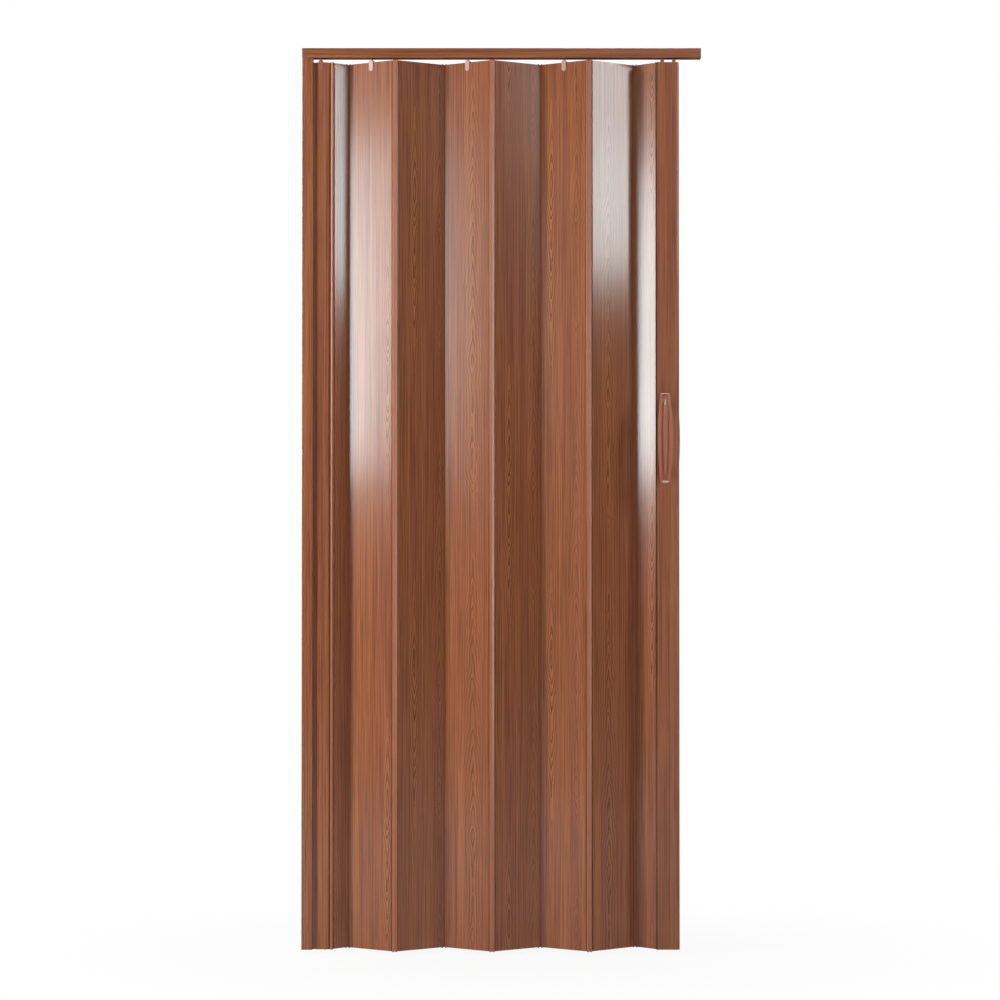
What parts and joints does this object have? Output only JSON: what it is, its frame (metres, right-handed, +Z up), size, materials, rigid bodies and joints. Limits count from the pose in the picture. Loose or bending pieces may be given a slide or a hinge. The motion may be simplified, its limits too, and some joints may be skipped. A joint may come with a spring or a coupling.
{
  "type": "accordion folding door",
  "caption": "Folding door of hollow wood-print panels linked by hinge strips, hung from a channel track on rollers, with a wall jamb and a lead post with pull handles.",
  "frame": {"origin": "middle of the track's length and depth, at the height of the door's lowest point, 2 mm below the panels' lower ends", "axes": "+X along the track from the wall jamb to the lead post, +Y away from the viewer of the picture, +Z up"},
  "size_m": [0.9, 0.07, 2.032],
  "materials": {
    "wood_print": "reddish brown wood print, lacquered",
    "strip_plastic": "plain light brown, glossy",
    "clip_plastic": "plain pinkish brown, glossy",
    "handle_plastic": "moulded brown, satin",
    "nylon": "natural nylon",
    "zinc_steel": "bright zinc plate"
  },
  "bodies": {
    "frame": {"top_track": "wood_print", "wall_jamb": "wood_print", "starter_panel": "wood_print", "starter_block": "clip_plastic", "starter_clip": "clip_plastic"},
    "hinge_strip_1": {"hinge_strip_1": "strip_plastic"},
    "half_panel_first": {"half_panel_first": "wood_print"},
    "hinge_strip_2": {"hinge_strip_2": "strip_plastic"},
    "panel_1": {"panel_1": "wood_print", "hanger_clip_1": "clip_plastic"},
    "hinge_strip_3": {"hinge_strip_3": "strip_plastic"},
    "panel_2": {"panel_2": "wood_print"},
    "hinge_strip_4": {"hinge_strip_4": "strip_plastic"},
    "panel_3": {"panel_3": "wood_print", "hanger_clip_2": "clip_plastic"},
    "hinge_strip_5": {"hinge_strip_5": "strip_plastic"},
    "panel_4": {"panel_4": "wood_print"},
    "hinge_strip_6": {"hinge_strip_6": "strip_plastic"},
    "panel_5": {"panel_5": "wood_print", "hanger_clip_3": "clip_plastic"},
    "hinge_strip_7": {"hinge_strip_7": "strip_plastic"},
    "panel_6": {"panel_6": "wood_print"},
    "hinge_strip_8": {"hinge_strip_8": "strip_plastic"},
    "half_panel_last": {"half_panel_last": "wood_print"},
    "lead_post": {"lead_post": "wood_print", "post_plug_top": "clip_plastic", "post_plug_bottom": "clip_plastic", "handle_front": "handle_plastic", "handle_back": "handle_plastic", "screw_front_lower": "zinc_steel", "screw_front_upper": "zinc_steel", "screw_back_lower": "zinc_steel", "screw_back_upper": "zinc_steel", "carriage_4": "clip_plastic", "axle_4": "zinc_steel", "carriage_5": "clip_plastic", "axle_5": "zinc_steel"},
    "carriage_1": {"carriage_1": "clip_plastic", "axle_1": "zinc_steel"},
    "carriage_2": {"carriage_2": "clip_plastic", "axle_2": "zinc_steel"},
    "carriage_3": {"carriage_3": "clip_plastic", "axle_3": "zinc_steel"},
    "wheel_front_1": {"wheel_front_1": "nylon"},
    "wheel_back_1": {"wheel_back_1": "nylon"},
    "wheel_front_2": {"wheel_front_2": "nylon"},
    "wheel_back_2": {"wheel_back_2": "nylon"},
    "wheel_front_3": {"wheel_front_3": "nylon"},
    "wheel_back_3": {"wheel_back_3": "nylon"},
    "wheel_front_4": {"wheel_front_4": "nylon"},
    "wheel_back_4": {"wheel_back_4": "nylon"},
    "wheel_front_5": {"wheel_front_5": "nylon"},
    "wheel_back_5": {"wheel_back_5": "nylon"}
  },
  "joints": [
    {"name": "hinge_strip_1_turn", "type": "hinge", "parent": "frame", "child": "hinge_strip_1", "pos_m": [-0.3975, 0.0037, 1], "axis": [0, 0, 1], "range_deg": [-12.94, 85.17]},
    {"name": "half_panel_first_turn", "type": "hinge", "parent": "hinge_strip_1", "child": "half_panel_first", "pos_m": [-0.3815, 0.0037, 1], "axis": [0, 0, 1], "range_deg": [-34.41, 5.43]},
    {"name": "hinge_strip_2_turn", "type": "hinge", "parent": "half_panel_first", "child": "hinge_strip_2", "pos_m": [-0.35176, 0.02503, 1], "axis": [0, 0, 1], "range_deg": [-51.16, 7.91]},
    {"name": "panel_1_turn", "type": "hinge", "parent": "hinge_strip_2", "child": "panel_1", "pos_m": [-0.34416, 0.02503, 1], "axis": [0, 0, 1], "range_deg": [-58.34, 8.97]},
    {"name": "hinge_strip_3_turn", "type": "hinge", "parent": "panel_1", "child": "hinge_strip_3", "pos_m": [-0.24286, -0.02503, 1], "axis": [0, 0, 1], "range_deg": [-8.97, 58.34]},
    {"name": "panel_2_turn", "type": "hinge", "parent": "hinge_strip_3", "child": "panel_2", "pos_m": [-0.23526, -0.02503, 1], "axis": [0, 0, 1], "range_deg": [-8.97, 58.34]},
    {"name": "hinge_strip_4_turn", "type": "hinge", "parent": "panel_2", "child": "hinge_strip_4", "pos_m": [-0.13395, 0.02503, 1], "axis": [0, 0, 1], "range_deg": [-58.34, 8.97]},
    {"name": "panel_3_turn", "type": "hinge", "parent": "hinge_strip_4", "child": "panel_3", "pos_m": [-0.12635, 0.02503, 1], "axis": [0, 0, 1], "range_deg": [-58.34, 8.97]},
    {"name": "hinge_strip_5_turn", "type": "hinge", "parent": "panel_3", "child": "hinge_strip_5", "pos_m": [-0.02505, -0.02503, 1], "axis": [0, 0, 1], "range_deg": [-8.97, 58.34]},
    {"name": "panel_4_turn", "type": "hinge", "parent": "hinge_strip_5", "child": "panel_4", "pos_m": [-0.01745, -0.02503, 1], "axis": [0, 0, 1], "range_deg": [-8.97, 58.34]},
    {"name": "hinge_strip_6_turn", "type": "hinge", "parent": "panel_4", "child": "hinge_strip_6", "pos_m": [0.08385, 0.02503, 1], "axis": [0, 0, 1], "range_deg": [-58.34, 8.97]},
    {"name": "panel_5_turn", "type": "hinge", "parent": "hinge_strip_6", "child": "panel_5", "pos_m": [0.09145, 0.02503, 1], "axis": [0, 0, 1], "range_deg": [-58.34, 8.97]},
    {"name": "hinge_strip_7_turn", "type": "hinge", "parent": "panel_5", "child": "hinge_strip_7", "pos_m": [0.19275, -0.02503, 1], "axis": [0, 0, 1], "range_deg": [-8.97, 58.34]},
    {"name": "panel_6_turn", "type": "hinge", "parent": "hinge_strip_7", "child": "panel_6", "pos_m": [0.20035, -0.02503, 1], "axis": [0, 0, 1], "range_deg": [-8.44, 54.75]},
    {"name": "hinge_strip_8_turn", "type": "hinge", "parent": "panel_6", "child": "hinge_strip_8", "pos_m": [0.29812, 0.03164, 1], "axis": [0, 0, 1], "range_deg": [-54.75, 8.44]},
    {"name": "half_panel_last_turn", "type": "hinge", "parent": "hinge_strip_8", "child": "half_panel_last", "pos_m": [0.30572, 0.03164, 1], "axis": [0, 0, 1], "range_deg": [-51.1, 7.9]},
    {"name": "fold", "type": "hinge", "parent": "half_panel_last", "child": "lead_post", "pos_m": [0.35253, 0, 1], "axis": [0, 0, 1], "range_deg": [-7.5, 50.7]},
    {"name": "carriage_1_swivel", "type": "hinge", "parent": "panel_1", "child": "carriage_1", "pos_m": [-0.29351, 0, 2], "axis": [0, 0, 1], "range_deg": [-8.97, 58.34]},
    {"name": "carriage_2_swivel", "type": "hinge", "parent": "panel_3", "child": "carriage_2", "pos_m": [-0.0757, 0, 2], "axis": [0, 0, 1], "range_deg": [-8.97, 58.34]},
    {"name": "carriage_3_swivel", "type": "hinge", "parent": "panel_5", "child": "carriage_3", "pos_m": [0.1421, 0, 2], "axis": [0, 0, 1], "range_deg": [-8.97, 58.34]},
    {"name": "wheel_front_1_roll", "type": "hinge", "parent": "carriage_1", "child": "wheel_front_1", "pos_m": [-0.29351, -0.0061, 2.0188], "axis": [0, 1, 0], "continuous": true},
    {"name": "wheel_back_1_roll", "type": "hinge", "parent": "carriage_1", "child": "wheel_back_1", "pos_m": [-0.29351, 0.0061, 2.0188], "axis": [0, 1, 0], "continuous": true},
    {"name": "wheel_front_2_roll", "type": "hinge", "parent": "carriage_2", "child": "wheel_front_2", "pos_m": [-0.0757, -0.0061, 2.0188], "axis": [0, 1, 0], "continuous": true},
    {"name": "wheel_back_2_roll", "type": "hinge", "parent": "carriage_2", "child": "wheel_back_2", "pos_m": [-0.0757, 0.0061, 2.0188], "axis": [0, 1, 0], "continuous": true},
    {"name": "wheel_front_3_roll", "type": "hinge", "parent": "carriage_3", "child": "wheel_front_3", "pos_m": [0.1421, -0.0061, 2.0188], "axis": [0, 1, 0], "continuous": true},
    {"name": "wheel_back_3_roll", "type": "hinge", "parent": "carriage_3", "child": "wheel_back_3", "pos_m": [0.1421, 0.0061, 2.0188], "axis": [0, 1, 0], "continuous": true},
    {"name": "wheel_front_4_roll", "type": "hinge", "parent": "lead_post", "child": "wheel_front_4", "pos_m": [0.36303, -0.0061, 2.0188], "axis": [0, 1, 0], "continuous": true},
    {"name": "wheel_back_4_roll", "type": "hinge", "parent": "lead_post", "child": "wheel_back_4", "pos_m": [0.36303, 0.0061, 2.0188], "axis": [0, 1, 0], "continuous": true},
    {"name": "wheel_front_5_roll", "type": "hinge", "parent": "lead_post", "child": "wheel_front_5", "pos_m": [0.38933, -0.0061, 2.0188], "axis": [0, 1, 0], "continuous": true},
    {"name": "wheel_back_5_roll", "type": "hinge", "parent": "lead_post", "child": "wheel_back_5", "pos_m": [0.38933, 0.0061, 2.0188], "axis": [0, 1, 0], "continuous": true}
  ],
  "couplings": [
    {"joint": "hinge_strip_1_turn", "follows": "fold", "ratio": 1.672},
    {"joint": "half_panel_first_turn", "follows": "fold", "ratio": -0.67086},
    {"joint": "hinge_strip_2_turn", "follows": "fold", "ratio": -1.0011},
    {"joint": "panel_1_turn", "follows": "fold", "ratio": -1.1429},
    {"joint": "hinge_strip_3_turn", "follows": "fold", "ratio": 1.1429},
    {"joint": "panel_2_turn", "follows": "fold", "ratio": 1.1429},
    {"joint": "hinge_strip_4_turn", "follows": "fold", "ratio": -1.1429},
    {"joint": "panel_3_turn", "follows": "fold", "ratio": -1.1429},
    {"joint": "hinge_strip_5_turn", "follows": "fold", "ratio": 1.1429},
    {"joint": "panel_4_turn", "follows": "fold", "ratio": 1.1429},
    {"joint": "hinge_strip_6_turn", "follows": "fold", "ratio": -1.1429},
    {"joint": "panel_5_turn", "follows": "fold", "ratio": -1.1429},
    {"joint": "hinge_strip_7_turn", "follows": "fold", "ratio": 1.1429},
    {"joint": "panel_6_turn", "follows": "fold", "ratio": 1.072},
    {"joint": "hinge_strip_8_turn", "follows": "fold", "ratio": -1.072},
    {"joint": "half_panel_last_turn", "follows": "fold", "ratio": -1},
    {"joint": "carriage_1_swivel", "follows": "fold", "ratio": 1.1429},
    {"joint": "carriage_2_swivel", "follows": "fold", "ratio": 1.1429},
    {"joint": "carriage_3_swivel", "follows": "fold", "ratio": 1.1429}
  ]
}
